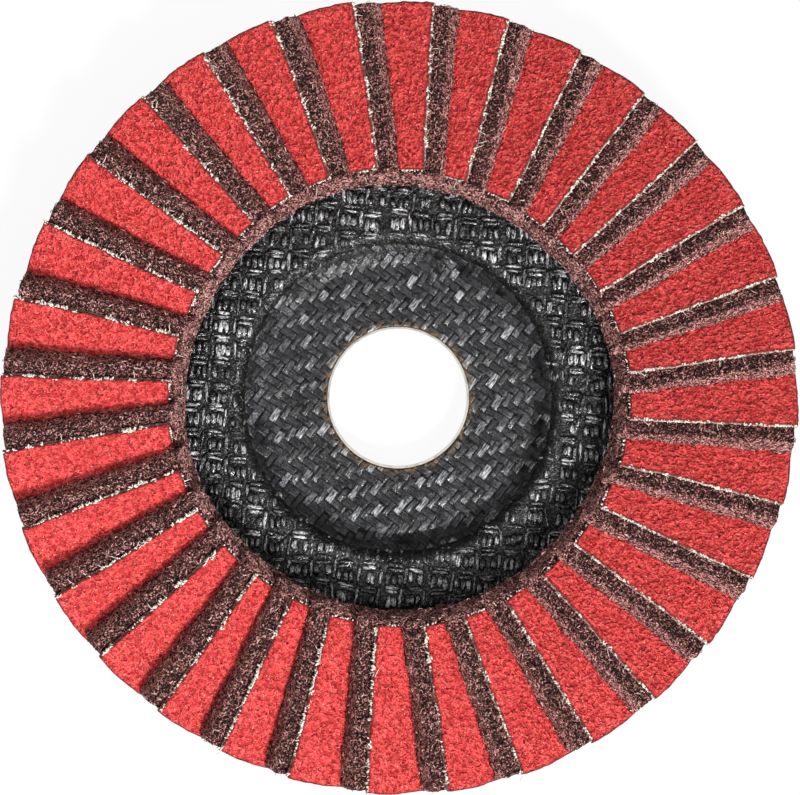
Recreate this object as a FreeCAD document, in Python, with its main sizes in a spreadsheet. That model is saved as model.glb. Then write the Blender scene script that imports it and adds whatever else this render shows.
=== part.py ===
"""Interleaved non-woven flap disc for a hand-held angle grinder, in millimetres.

The disc lies on the back of its hub: the origin is on the bore's axis at the back seating face, +Z points
out of the abrasive face, and flap pair 1 stands just clockwise of +Y. Thirty-two pairs of flaps lean over
one another like roof tiles. Each pair is a stiff coated-cloth flap lying on a soft non-woven flap, which
fills the space down to the next cloth flap. A bed of adhesive holds their roots on the backing plate.
"""
import FreeCAD, Part
import math
import os

import Sketcher
from FreeCAD import Placement, Rotation, Vector

OUT_DIR = "parts"
SHEET = "Sizes"

# Driving dimensions, in millimetres and degrees
DIMENSIONS = {
    # Whole disc, over the free corners of the cloth flaps
    "disc_diameter": 125.0,
    # Arbor ring, of tinplate, that lines the bore and is crimped over the back of the hub
    "bore_diameter": 22.23,
    "ring_wall": 0.3,
    "ring_flange_width": 7.5,
    "ring_bend": 0.5,
    "ring_fit": 0.05,
    # Backing plate, pressed from resin-bonded glass cloth with a depressed centre
    "plate_thickness": 3.0,
    "plate_setback": 5.5,
    "hub_thickness": 4.0,
    "hub_margin": 3.0,
    "hub_offset": 4.5,
    "dish_run": 4.5,
    "dish_bend_radius": 2.0,
    "rim_bevel": 0.8,
    # Adhesive bed between the plate and the roots of the flaps
    "bed_rim_setback": 1.0,
    "bed_lead": 1.0,
    "bed_under_flaps": 0.6,
    "bed_between_flaps": 0.9,
    "bed_edge": 0.4,
    # Fan of flaps
    "flap_pairs": 32,
    "first_flap_angle": 2.75,
    "flap_tilt": 26.0,
    "free_edge_offset": 1.5,
    # Coated-cloth flap
    "cloth_thickness": 1.05,
    "cloth_width": 15.0,
    "cloth_length": 26.5,
    # Non-woven flap
    "pad_overhang": 2.0,
    "pad_lead": 2.2,
    "pad_setback": 0.6,
}


def cell(alias):
    """The cell of one driving dimension, as an expression."""
    return f"{SHEET}.{alias}"


# Places that several pieces share, as expressions
BORE_RADIUS = f"({cell('bore_diameter')} / 2)"
SLEEVE_RADIUS = f"({BORE_RADIUS} + {cell('ring_wall')})"
FLANGE_RADIUS = f"({SLEEVE_RADIUS} + {cell('ring_flange_width')})"
HUB_FLAT = f"({FLANGE_RADIUS} + {cell('hub_margin')})"
PLATE_RIM = f"({cell('disc_diameter')} / 2 - {cell('plate_setback')})"
PLATE_FRONT = f"({cell('hub_offset')} + {cell('plate_thickness')})"
FLAP_FLOOR = f"({PLATE_FRONT} + {cell('bed_under_flaps')})"
PITCH = f"(360 / {cell('flap_pairs')})"
CLOTH_OUTER = f"sqrt(pow({cell('disc_diameter')} / 2; 2) - pow({cell('free_edge_offset')}; 2))"
CLOTH_INNER = f"({CLOTH_OUTER} - {cell('cloth_length')})"
RISE = f"sin({cell('flap_tilt')})"
RUN = f"cos({cell('flap_tilt')})"
CLOTH_FOOT = f"({cell('free_edge_offset')} - {cell('cloth_width')} * {RUN})"
CLOTH_ROOT = f"({CLOTH_FOOT} + {cell('cloth_thickness')} * {RISE})"
FREE_EDGE_HEIGHT = f"({FLAP_FLOOR} + {cell('cloth_width')} * {RISE} + {cell('cloth_thickness')} * {RUN})"


def make_sheet(doc):
    """The spreadsheet that holds every driving dimension as a plain number."""
    sheet = doc.addObject("Spreadsheet::Sheet", SHEET)
    for row, (alias, number) in enumerate(DIMENSIONS.items(), start=1):
        sheet.set(f"A{row}", alias)
        sheet.set(f"B{row}", str(number))
        sheet.setAlias(f"B{row}", alias)
    doc.recompute()
    return sheet


def amount(thing, expression):
    """What an expression comes to with the sheet's present sizes."""
    return float(thing.evalExpression(expression))


def new_body(doc, name):
    """An empty body that bears the name of its piece."""
    body = doc.addObject("PartDesign::Body", name)
    body.Label = name
    return body


def upright_sketch(body, name, corners):
    """A closed polygon on the body's XZ plane, where sketch x is X or radius and sketch y is Z.

    Each corner is a pair of expressions, which give the sketch its first shape.
    """
    sketch = body.newObject("Sketcher::SketchObject", name)
    plane = next(f for f in body.Origin.OriginFeatures if f.Role == "XZ_Plane")
    sketch.AttachmentSupport = [(plane, "")]
    sketch.MapMode = "FlatFace"
    points = [Vector(amount(sketch, across), amount(sketch, height), 0) for across, height in corners]
    count = len(points)
    for i in range(count):
        sketch.addGeometry(Part.LineSegment(points[i], points[(i + 1) % count]), False)
    for i in range(count):
        sketch.addConstraint(Sketcher.Constraint("Coincident", i, 2, (i + 1) % count, 1))
    return sketch


def relate(sketch, kind, *lines):
    """A constraint without a size, such as Horizontal or Perpendicular."""
    sketch.addConstraint(Sketcher.Constraint(kind, *lines))


def bind(sketch, name, kind, where, expression):
    """A named dimension tied to the sheet."""
    target = amount(sketch, expression)
    if kind == "Angle":
        target = math.radians(target)
    index = sketch.addConstraint(Sketcher.Constraint(kind, *where, target))
    sketch.renameConstraint(index, name)
    sketch.setExpression(f"Constraints.{name}", expression)


def place(sketch, corner, name, across, height):
    """Ties a corner, which starts the line of the same number, to a radius or X and to a height."""
    bind(sketch, f"{name}_across", "DistanceX", (-1, 1, corner, 1), across)
    bind(sketch, f"{name}_height", "DistanceY", (-1, 1, corner, 1), height)


def turned_profile(body, name, corners):
    """A profile to be turned about the axis, with each named corner tied to its radius and height."""
    sketch = upright_sketch(body, name, [(across, height) for _, across, height in corners])
    for i, (corner, across, height) in enumerate(corners):
        place(sketch, i, corner, across, height)
    return sketch


def turn_about_axis(body, sketch):
    """Turns a profile about the bore's axis."""
    turned = body.newObject("PartDesign::Revolution", f"{body.Name}_turned")
    turned.Profile = sketch
    turned.ReferenceAxis = (sketch, ["V_Axis"])
    turned.Angle = 360
    return turned


def dress_rings(body, base, name, kind, expression, *places):
    """Fillets or chamfers circular edges of a turned piece, found where the sheet puts them."""
    body.Document.recompute()
    spots = [(amount(base, across), amount(base, height)) for across, height in places]
    edges = []
    for number, edge in enumerate(base.Shape.Edges, start=1):
        if isinstance(edge.Curve, Part.Circle):
            at = (edge.Curve.Radius, edge.Curve.Center.z)
            if any(math.dist(at, spot) < 1e-4 for spot in spots):
                edges.append(f"Edge{number}")
    dressing = body.newObject(f"PartDesign::{kind}", name)
    dressing.Base = (base, edges)
    dressing.setExpression("Radius" if kind == "Fillet" else "Size", expression)
    return dressing


def make_arbor_ring(doc):
    """Sleeve through the bore, bent out into a flange on the back of the hub."""
    body = new_body(doc, "arbor_ring")
    corners = [
        ("bore_back", BORE_RADIUS, "0"),
        ("flange_back", FLANGE_RADIUS, "0"),
        ("flange_front", FLANGE_RADIUS, cell("ring_wall")),
        ("bend", SLEEVE_RADIUS, cell("ring_wall")),
        ("sleeve_front", SLEEVE_RADIUS, cell("hub_thickness")),
        ("bore_front", BORE_RADIUS, cell("hub_thickness")),
    ]
    turned = turn_about_axis(body, turned_profile(body, "ring_profile", corners))
    bend = dress_rings(body, turned, "outer_bend", "Chamfer", cell("ring_bend"), (BORE_RADIUS, "0"))
    inner_bend = f"{cell('ring_bend')} - {cell('ring_wall')} / 2"
    dress_rings(body, bend, "inner_bend", "Chamfer", inner_bend, (SLEEVE_RADIUS, cell("ring_wall")))
    return body


def make_backing_plate(doc):
    """Dished plate: flat hub, sloping dish and flat carrier for the flaps, seated round the arbor ring."""
    body = new_body(doc, "backing_plate")
    bore = f"({SLEEVE_RADIUS} + {cell('ring_fit')})"
    seat_rim = f"({FLANGE_RADIUS} + {cell('ring_fit')})"
    dish_front = f"({HUB_FLAT} + {cell('dish_run')})"
    back_run = f"({cell('dish_run')} * {cell('hub_offset')} / ({PLATE_FRONT} - {cell('hub_thickness')}))"
    dish_back = f"({HUB_FLAT} + {back_run})"
    corners = [
        ("bore_front", bore, cell("hub_thickness")),
        ("bore_relief", bore, f"{cell('ring_wall')} + {cell('ring_bend')}"),
        ("seat_relief", f"{bore} + {cell('ring_bend')}", cell("ring_wall")),
        ("seat_floor", seat_rim, cell("ring_wall")),
        ("seat_rim", seat_rim, "0"),
        ("hub_back", HUB_FLAT, "0"),
        ("dish_back", dish_back, cell("hub_offset")),
        ("rim_back", PLATE_RIM, cell("hub_offset")),
        ("rim_front", PLATE_RIM, PLATE_FRONT),
        ("dish_front", dish_front, PLATE_FRONT),
        ("hub_front", HUB_FLAT, cell("hub_thickness")),
    ]
    turned = turn_about_axis(body, turned_profile(body, "plate_profile", corners))
    bends = (
        (HUB_FLAT, "0"),
        (HUB_FLAT, cell("hub_thickness")),
        (dish_front, PLATE_FRONT),
        (dish_back, cell("hub_offset")),
    )
    dished = dress_rings(body, turned, "dish_bends", "Fillet", cell("dish_bend_radius"), *bends)
    rims = ((PLATE_RIM, PLATE_FRONT), (PLATE_RIM, cell("hub_offset")))
    dress_rings(body, dished, "rim_bevels", "Chamfer", cell("rim_bevel"), *rims)
    return body


def extend_outwards(body, sketch, inner, outer):
    """Gives a profile its length along Y, which is the flap's own radial direction."""
    sketch.setExpression("AttachmentOffset.Base.z", f"-{inner}")
    length = body.newObject("PartDesign::Pad", f"{body.Name}_length")
    length.Profile = sketch
    length.Reversed = True
    length.setExpression("Length", f"{outer} - {inner}")


def turn_to_place(body, index):
    """Turns one flap clockwise, seen from the front, to its own place in the fan."""
    body.Placement = Placement(Vector(0, 0, 0), Rotation(Vector(0, 0, 1), -1))
    angle = f"-({cell('first_flap_angle')} + {index} * {PITCH})"
    body.setExpression("Placement.Rotation.Angle", angle)


def make_cloth_flap(doc, index):
    """Stiff flap of coated cloth: its upper long edge is free and its lower one stands on the flap floor."""
    body = new_body(doc, f"abrasive_flap_{index + 1:02d}")
    over, up = f"{cell('cloth_width')} * {RUN}", f"{cell('cloth_width')} * {RISE}"
    back, lift = f"{cell('cloth_thickness')} * {RISE}", f"{cell('cloth_thickness')} * {RUN}"
    corners = [
        (CLOTH_ROOT, FLAP_FLOOR),
        (f"{CLOTH_ROOT} - {back}", f"{FLAP_FLOOR} + {lift}"),
        (f"{CLOTH_ROOT} - {back} + {over}", FREE_EDGE_HEIGHT),
        (f"{CLOTH_ROOT} + {over}", f"{FLAP_FLOOR} + {up}"),
    ]
    profile = upright_sketch(body, f"{body.Name}_profile", corners)
    for line in range(3):
        relate(profile, "Perpendicular", line, line + 1)
    place(profile, 0, "root", CLOTH_ROOT, FLAP_FLOOR)
    bind(profile, "thickness", "Distance", (0,), cell("cloth_thickness"))
    bind(profile, "width", "Distance", (1,), cell("cloth_width"))
    bind(profile, "tilt", "Angle", (1,), cell("flap_tilt"))
    extend_outwards(body, profile, CLOTH_INNER, CLOTH_OUTER)
    turn_to_place(body, index)
    return body


def leaning_triangle(body, name, foot, base, width):
    """A right triangle on its base, with one side leaning like the flaps from its foot up over its width."""
    over, up = f"({width}) * {RUN}", f"({width}) * {RISE}"
    corners = [
        (foot, base),
        (f"{foot} + {over}", f"{base} + {up}"),
        (f"{foot} + {over} + {up} * {RISE} / {RUN}", base),
    ]
    sketch = upright_sketch(body, name, corners)
    relate(sketch, "Perpendicular", 0, 1)
    relate(sketch, "Horizontal", 2)
    place(sketch, 0, "foot", foot, base)
    bind(sketch, "width", "Distance", (0,), width)
    bind(sketch, "tilt", "Angle", (0,), cell("flap_tilt"))
    return sketch


def make_nonwoven_flap(doc, index):
    """Soft flap under its cloth flap, flat where it meets the bed and trimmed by the next cloth flap."""
    body = new_body(doc, f"nonwoven_flap_{index + 1:02d}")
    width = f"{cell('cloth_width')} + {cell('pad_overhang')}"
    profile = leaning_triangle(body, f"{body.Name}_profile", CLOTH_ROOT, FLAP_FLOOR, width)
    outer = f"({CLOTH_OUTER} - {cell('pad_setback')})"
    inner = f"({CLOTH_INNER} - {cell('pad_lead')})"
    extend_outwards(body, profile, inner, outer)

    # The next cloth's upper face, from the plate's front up past its free edge
    drop = f"({FREE_EDGE_HEIGHT} - {PLATE_FRONT})"
    foot = f"({cell('free_edge_offset')} - {drop} * {RUN} / {RISE})"
    slope = f"{drop} / {RISE} + {cell('pad_overhang')}"
    next_cloth = leaning_triangle(body, f"{body.Name}_next_cloth", foot, PLATE_FRONT, slope)
    next_cloth.AttachmentOffset = Placement(Vector(0, 0, 0), Rotation(Vector(0, 1, 0), -1))
    next_cloth.setExpression("AttachmentOffset.Rotation.Angle", f"-{PITCH}")
    trim = body.newObject("PartDesign::Pocket", f"{body.Name}_trim")
    trim.Profile = next_cloth
    trim.Type = "ThroughAll"
    trim.SideType = "Symmetric"
    turn_to_place(body, index)
    return body


def pair_nonwoven_flaps(doc, flaps):
    """Opposite non-woven flaps share a node, as two separate solids."""
    half = len(flaps) // 2
    pairs = []
    for i in range(half):
        name = f"nonwoven_flaps_{i + 1:02d}_{i + 1 + half:02d}"
        pair = doc.addObject("Part::Compound", name)
        pair.Label = name
        pair.Links = [flaps[i], flaps[i + half]]
        pairs.append(pair)
    return pairs


def make_adhesive_bed(doc, flaps):
    """Ring of cured adhesive: every flap has its seat there, with a ridge in front of each cloth's root."""
    ring = new_body(doc, "bed_ring")
    inner = f"({CLOTH_INNER} - {cell('bed_lead')})"
    outer = f"({PLATE_RIM} - {cell('bed_rim_setback')})"
    top = f"({FLAP_FLOOR} + {cell('bed_between_flaps')})"
    corners = [
        ("inner_foot", inner, PLATE_FRONT),
        ("outer_foot", outer, PLATE_FRONT),
        ("outer_top", f"{outer} - {cell('bed_edge')}", top),
        ("inner_top", f"{inner} + {cell('bed_edge')}", top),
    ]
    turn_about_axis(ring, turned_profile(ring, "bed_profile", corners))
    roots = doc.addObject("Part::Compound", "flap_roots")
    roots.Links = flaps
    bed = doc.addObject("Part::Cut", "adhesive_bed")
    bed.Label = "adhesive_bed"
    bed.Base = ring
    bed.Tool = roots
    return bed


def build():
    """Makes the document and returns it with the finished pieces."""
    doc = FreeCAD.newDocument("flap_disc")
    count = int(make_sheet(doc).flap_pairs)
    cloth_flaps = [make_cloth_flap(doc, i) for i in range(count)]
    nonwoven_flaps = [make_nonwoven_flap(doc, i) for i in range(count)]
    pieces = [make_backing_plate(doc), make_arbor_ring(doc)]
    pieces.append(make_adhesive_bed(doc, cloth_flaps + nonwoven_flaps))
    pieces += cloth_flaps
    pieces += pair_nonwoven_flaps(doc, nonwoven_flaps)
    doc.recompute()
    return doc, pieces


def check_document(doc, pieces):
    """Stops if any object failed to build or any piece isn't made of sound solids."""
    for thing in doc.Objects:
        if "Invalid" in thing.State or "Error" in thing.State:
            raise RuntimeError(f"{thing.Name} failed: {thing.State}")
    for piece in pieces:
        if piece.Shape.isNull() or not piece.Shape.isValid() or not piece.Shape.Solids:
            raise RuntimeError(f"{piece.Label} has no sound solid")
        print(f"{piece.Label}: {len(piece.Shape.Solids)} solid, {piece.Shape.Volume:.1f} mm3")


def write_parts(pieces):
    """One STEP file for each piece, named by its label."""
    os.makedirs(OUT_DIR, exist_ok=True)
    for piece in pieces:
        piece.Shape.exportStep(os.path.join(OUT_DIR, f"{piece.Label}.step"))


document, finished = build()
check_document(document, finished)
write_parts(finished)
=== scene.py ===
"""Looks of the interleaved flap disc: granular red cloth flaps with frayed cream edges, fibrous brown
non-woven flaps, and a resin-rich woven backing plate.

Shapes are laid out in millimetres and written in metres.
"""

import itertools
import math

import bpy
import numpy as np
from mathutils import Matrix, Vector


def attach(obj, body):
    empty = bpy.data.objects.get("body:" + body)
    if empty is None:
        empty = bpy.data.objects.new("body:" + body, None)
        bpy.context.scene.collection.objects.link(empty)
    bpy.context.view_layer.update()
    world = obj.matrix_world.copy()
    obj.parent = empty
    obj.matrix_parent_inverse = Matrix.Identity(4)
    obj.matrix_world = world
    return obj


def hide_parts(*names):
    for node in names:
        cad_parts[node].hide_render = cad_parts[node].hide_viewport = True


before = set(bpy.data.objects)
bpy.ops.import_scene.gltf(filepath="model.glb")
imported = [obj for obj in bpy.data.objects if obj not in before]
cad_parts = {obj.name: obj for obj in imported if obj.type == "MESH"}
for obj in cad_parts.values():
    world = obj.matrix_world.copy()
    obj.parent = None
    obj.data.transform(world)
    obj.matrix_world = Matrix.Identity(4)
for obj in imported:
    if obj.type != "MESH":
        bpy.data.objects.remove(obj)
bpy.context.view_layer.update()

MM = 0.001
SEED = 20

# Sizes of the disc, in millimetres and degrees
PAIRS = 32
FIRST_ANGLE = 2.75
TILT = math.radians(26.0)
RUN, RISE = math.cos(TILT), math.sin(TILT)
FREE_EDGE_X = 1.5
FREE_EDGE_TOP = 15.619
CLOTH_WIDTH, CLOTH_THICKNESS = 15.0, 1.05
CLOTH_INNER, CLOTH_LENGTH = 35.982, 26.5
FLAP_FLOOR = 8.1
WEB_LEAD, WEB_SETBACK, WEB_OVERHANG = 2.2, 0.6, 2.35
PLATE_BORE, PLATE_RIM, PLATE_THICKNESS = 11.465, 57.0, 3.0
PLATE_BEVEL, BORE_BEVEL = 0.8, 0.5
SEAT_RIM, SEAT_DEPTH = 18.965, 0.3
HUB_FRONT, HUB_OFFSET = 4.0, 4.5
HUB_FLAT = 21.915
DISH_RUN, BACK_DISH_RUN = 4.5, 5.786
PLATE_FRONT = HUB_OFFSET + PLATE_THICKNESS
BED_INNER, BED_OUTER = 34.98, 56.0
BED_FLOOR, BED_TOP = 7.46, 8.04

# The hub's twill cloth: its rim, the spacing of its yarns, and the way its bright ones, pale with painted
# sheen, run from x
HUB_CLOTH_RIM = 25.5
HUB_WEAVE_PITCH, HUB_WEAVE_WAY = 1.265, math.radians(53.9)
# How far below the hub's front its underside and the resin under it lie
HUB_CLOTH_DEPTH, HUB_RESIN_DEPTH = 0.6, 0.75
# The coarse cloths on the plate's front and back: the spacing of their meshes, and their turn in degrees
FRONT_MESH, FRONT_MESH_TURN = 3.76, -4.8
BACK_MESH, BACK_MESH_TURN = 4.2, 4.0
# How far below the pressed faces the resin lies between coarse yarns, and how far the yarns' middles lie
YARN_DEPTH, YARN_SINK = 0.35, 0.22

# How unevenly the pairs were laid, as waves: their number around the disc, size, and angle of one crest.
# First how far clockwise of their even places, in degrees, then how far out, in millimetres.
LAY_WAVES = (
    (1, 0.37, 0.86), (2, 0.40, -0.02), (4, 0.23, 0.49),
    (6, 0.23, 0.16), (9, 0.19, -0.19), (11, 0.21, -0.08),
)
SLIDE_WAVES = ((4, 0.31, -0.15), (2, 0.20, -1.30), (3, 0.18, -0.28))
MEAN_SLIDE = -0.10
# How much a flap is turned on its seat, in radians, and bowed, in millimetres, at most
MOST_YAW, MOST_BOW = 0.010, 0.18
# Edges fray least on the flaps at this angle, in radians, and most opposite them
FRAYED_LEAST = math.radians(60.0)

rng = np.random.default_rng(SEED)
even_turn = np.arange(PAIRS) * 2 * math.pi / PAIRS
lay = sum(size * np.cos(turns * (even_turn - at)) for turns, size, at in LAY_WAVES)
flap_turn = even_turn + np.radians(FIRST_ANGLE + lay)
flap_slide = MEAN_SLIDE + sum(size * np.cos(turns * (flap_turn - at)) for turns, size, at in SLIDE_WAVES)
flap_yaw = rng.uniform(-MOST_YAW, MOST_YAW, PAIRS)
flap_bow = rng.uniform(-MOST_BOW, MOST_BOW, PAIRS)


def hashed(x, y, z, seed):
    """Repeatable numbers from 0 to 1 for whole-number cells."""
    n = (x * 73856093) ^ (y * 19349663) ^ (z * 83492791) ^ (seed * 2654435761)
    n = n & 0xFFFFFFFF
    for _ in range(2):
        n = (((n >> 16) ^ n) * 0x45D9F3B) & 0xFFFFFFFF
    n = (n >> 16) ^ n
    return n / 4294967295


def noise(points, size, seed):
    """Smooth noise from -1 to 1 whose lumps are about size across."""
    q = points / size
    cell = np.floor(q).astype(np.int64)
    f = q - cell
    f = f * f * (3 - 2 * f)
    total = 0
    for corner in itertools.product((0, 1), repeat=3):
        weight = 1
        for axis in range(3):
            weight = weight * (f[..., axis] if corner[axis] else 1 - f[..., axis])
        total = total + weight * hashed(*(cell[..., a] + corner[a] for a in range(3)), seed)
    return total * 2 - 1


def flat(x, y, z=0.0):
    """Points from separate coordinates that may need spreading to one shape."""
    return np.stack(np.broadcast_arrays(np.asarray(x, float), y, z), -1)


def smooth_step(low, high, x):
    """0 below low, 1 above high, and a soft rise between."""
    t = np.clip((x - low) / (high - low), 0, 1)
    return t * t * (3 - 2 * t)


class Shape:
    """Gathers the points and faces of one piece."""

    def __init__(self):
        self.points, self.faces, self.values, self.count = [], [], {}, 0

    def add(self, points, **values):
        """Adds points with named numbers for the material, and returns the first one's place."""
        start, points = self.count, points.reshape(-1, 3)
        self.points.append(points)
        for name in values:
            self.values.setdefault(name, []).append((start, np.asarray(values[name], float).ravel()))
        self.count += len(points)
        return start

    def face(self, corners, material=0, smooth=True):
        """Adds faces, all with the same number of corners."""
        self.faces.append((np.atleast_2d(corners), material, smooth))

    def build(self, name, materials, slot, *nodes):
        """Makes the Blender piece, which rides on the disc and stands for the CAD nodes."""
        mesh = bpy.data.meshes.new(name)
        points = np.concatenate(self.points) * MM
        loops = np.concatenate([f.ravel() for f, _, _ in self.faces])
        sizes = np.concatenate([np.full(len(f), f.shape[1]) for f, _, _ in self.faces])
        starts = np.concatenate(([0], np.cumsum(sizes)[:-1]))
        materials_used = np.concatenate([np.full(len(f), m) for f, m, _ in self.faces])
        smooth = np.concatenate([np.full(len(f), s) for f, _, s in self.faces])
        mesh.vertices.add(len(points))
        mesh.vertices.foreach_set("co", points.ravel())
        mesh.loops.add(len(loops))
        mesh.loops.foreach_set("vertex_index", loops.astype(np.int32))
        mesh.polygons.add(len(sizes))
        mesh.polygons.foreach_set("loop_start", starts.astype(np.int32))
        mesh.polygons.foreach_set("material_index", materials_used.astype(np.int32))
        mesh.polygons.foreach_set("use_smooth", smooth)
        mesh.update(calc_edges=True)
        for key, parts in self.values.items():
            column = np.zeros(len(points))
            for start, numbers in parts:
                column[start:start + len(numbers)] = numbers
            mesh.attributes.new(key, "FLOAT", "POINT").data.foreach_set("value", column)
        for material in materials:
            mesh.materials.append(material)
        piece = bpy.data.objects.new(name, mesh)
        bpy.context.scene.collection.objects.link(piece)
        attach(piece, "root")
        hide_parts(*nodes)
        return piece


def grid(rows, columns, start=0, wrap=False):
    """Four-cornered faces over points laid out row by row."""
    r = np.arange(rows - 1)[:, None] * columns
    c = np.arange(columns if wrap else columns - 1)[None, :]
    n = (c + 1) % columns
    return start + np.stack([r + c, r + n, r + columns + n, r + columns + c], -1).reshape(-1, 4)


def unit(v):
    """Directions of length one."""
    return v / np.maximum(np.linalg.norm(v, axis=-1, keepdims=True), 1e-9)


def add_strands(shape, spines, radii, material, **values):
    """Thin closed strands, pointed at both ends, along spines of shape (strands, points, 3)."""
    count, length = spines.shape[:2]
    inner = spines[:, 1:-1]
    along = unit(spines[:, 2:] - spines[:, :-2])
    helper = np.where(np.abs(along[..., 2:]) < 0.8, [[[0.0, 0.0, 1.0]]], [[[1.0, 0.0, 0.0]]])
    side = unit(np.cross(along, helper))
    other = np.cross(along, side)
    rings = []
    for k in range(3):
        a = 2 * math.pi * k / 3
        rings.append(inner + radii[:, None, None] * (math.cos(a) * side + math.sin(a) * other))
    rings = np.stack(rings, 2).reshape(count, -1, 3)
    points = np.concatenate([spines[:, :1], rings, spines[:, -1:]], 1)
    size = points.shape[1]
    spread = {name: np.repeat(numbers, size) for name, numbers in values.items()}
    start = shape.add(points, **spread)
    base = start + np.arange(count)[:, None, None] * size
    quads = base + 1 + grid(length - 2, 3, 0, True)[None]
    shape.face(quads.reshape(-1, 4), material)
    first = np.array([[0, 1 + (k + 1) % 3, 1 + k] for k in range(3)])
    last = size - 4
    final = np.array([[last + k, last + (k + 1) % 3, size - 1] for k in range(3)])
    shape.face((base + np.concatenate([first, final])[None]).reshape(-1, 3), material)


def on_flap(i, u, v, w):
    """Places flap coordinates: u up the slope, v outwards from the cloth's inner end, w off its face."""
    y = CLOTH_INNER + flap_slide[i] + v
    bow = flap_bow[i] * (1 - ((v - CLOTH_LENGTH / 2) / (CLOTH_LENGTH / 2)) ** 2)
    x = FREE_EDGE_X + (u - CLOTH_WIDTH) * RUN - w * RISE + flap_yaw[i] * (v - CLOTH_LENGTH / 2) + bow
    z = FREE_EDGE_TOP + (u - CLOTH_WIDTH) * RISE + w * RUN
    c, s = math.cos(flap_turn[i]), math.sin(flap_turn[i])
    return flat(x * c + y * s, -x * s + y * c, z)


def room_below(i, u, v):
    """How far a non-woven flap reaches down from under its own cloth to the next cloth or to the floor."""
    n = (i + 1) % PAIRS
    corner, lower, outer = (on_flap(n, *at, 0.0) for at in ((15.0, 13.0), (5.0, 13.0), (15.0, 23.0)))
    normal = np.cross(corner - lower, outer - corner)
    normal /= np.linalg.norm(normal)
    own = on_flap(i, 10.0, 13.0, 1.0) - on_flap(i, 10.0, 13.0, 0.0)
    here = on_flap(i, u, v, -CLOTH_THICKNESS)
    to_cloth = ((here - corner) @ normal) / float(own @ normal)
    to_floor = (here[..., 2] - FLAP_FLOOR) / RUN
    return np.clip(np.minimum(to_cloth, to_floor), 0, None)


# Materials

def new_material(name, **fixed):
    """An empty node material whose shader has these fixed numbers."""
    material = bpy.data.materials.new(name)
    material.use_nodes = True
    shader = material.node_tree.nodes["Principled BSDF"]
    for key, number in fixed.items():
        shader.inputs[key.replace("_", " ")].default_value = number
    return material, material.node_tree, shader


def wire(tree, socket, source):
    """Links a socket, or sets it where the source is a plain number or colour."""
    if isinstance(source, bpy.types.NodeSocket):
        tree.links.new(source, socket)
    elif isinstance(source, tuple) and len(source) == 3 and socket.type == "RGBA":
        socket.default_value = (*source, 1.0)
    else:
        socket.default_value = source


def place(tree, turn=0.0, stretch=(1.0, 1.0, 1.0)):
    """Position in the disc's frame, turned about the axis and stretched."""
    coordinates = tree.nodes.new("ShaderNodeTexCoord").outputs["Object"]
    mapping = tree.nodes.new("ShaderNodeMapping")
    mapping.vector_type = "TEXTURE"
    mapping.inputs["Rotation"].default_value = (0, 0, math.radians(turn))
    mapping.inputs["Scale"].default_value = [1 / s for s in stretch]
    tree.links.new(coordinates, mapping.inputs["Vector"])
    return mapping.outputs["Vector"]


def speckle(tree, where, size, detail=2.0, distortion=0.0):
    """Noise whose lumps are about size millimetres across."""
    texture = tree.nodes.new("ShaderNodeTexNoise")
    texture.inputs["Scale"].default_value = 1 / (size * MM)
    texture.inputs["Detail"].default_value = detail
    texture.inputs["Roughness"].default_value = 0.6
    texture.inputs["Distortion"].default_value = distortion
    tree.links.new(where, texture.inputs["Vector"])
    return texture.outputs["Fac"]


def value(tree, name):
    """A number that the mesh carries at each point."""
    attribute = tree.nodes.new("ShaderNodeAttribute")
    attribute.attribute_name = name
    return attribute.outputs["Fac"]


def step(tree, source, low, high, to_low=0.0, to_high=1.0):
    """Maps a range softly onto another."""
    node = tree.nodes.new("ShaderNodeMapRange")
    node.interpolation_type = "SMOOTHSTEP"
    wire(tree, node.inputs["Value"], source)
    for name, number in (("From Min", low), ("From Max", high), ("To Min", to_low), ("To Max", to_high)):
        node.inputs[name].default_value = number
    return node.outputs["Result"]


def calc(tree, kind, a, b):
    """One arithmetic step."""
    node = tree.nodes.new("ShaderNodeMath")
    node.operation = kind
    wire(tree, node.inputs[0], a)
    wire(tree, node.inputs[1], b)
    return node.outputs[0]


def blend(tree, amount, a, b):
    """Mixes two colours."""
    node = tree.nodes.new("ShaderNodeMix")
    node.data_type = "RGBA"
    wire(tree, node.inputs[0], amount)
    wire(tree, node.inputs[6], a)
    wire(tree, node.inputs[7], b)
    return node.outputs[2]


def ramp(tree, source, *stops):
    """A colour scale."""
    node = tree.nodes.new("ShaderNodeValToRGB")
    scale = node.color_ramp.elements
    while len(scale) < len(stops):
        scale.new(0.5)
    for element, (at, colour) in zip(scale, stops):
        element.position = at
        element.color = (*colour, 1.0)
    tree.links.new(source, node.inputs["Fac"])
    return node.outputs["Color"]


def relief(tree, shader, *layers):
    """Stacks bumps, each a height, its depth in millimetres and its strength."""
    normal = None
    for height, depth, strength in layers:
        node = tree.nodes.new("ShaderNodeBump")
        node.inputs["Strength"].default_value = strength
        node.inputs["Distance"].default_value = depth * MM
        tree.links.new(height, node.inputs["Height"])
        if normal:
            tree.links.new(normal, node.inputs["Normal"])
        normal = node.outputs["Normal"]
    tree.links.new(normal, shader.inputs["Normal"])


class Field:
    """A number that varies over a surface, worked out by a material's nodes."""

    def __init__(self, tree, socket):
        self.tree, self.socket = tree, socket

    def op(self, kind, other=0.0, swap=False):
        """One arithmetic step with another field or a plain number."""
        source = other.socket if isinstance(other, Field) else other
        pair = (source, self.socket) if swap else (self.socket, source)
        return Field(self.tree, calc(self.tree, kind, *pair))

    def __add__(self, other):
        return self.op("ADD", other)

    def __sub__(self, other):
        return self.op("SUBTRACT", other)

    def __mul__(self, other):
        return self.op("MULTIPLY", other)

    def __pow__(self, other):
        return self.op("POWER", other)

    def __rsub__(self, other):
        return self.op("SUBTRACT", other, True)

    __radd__, __rmul__ = __add__, __mul__


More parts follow.
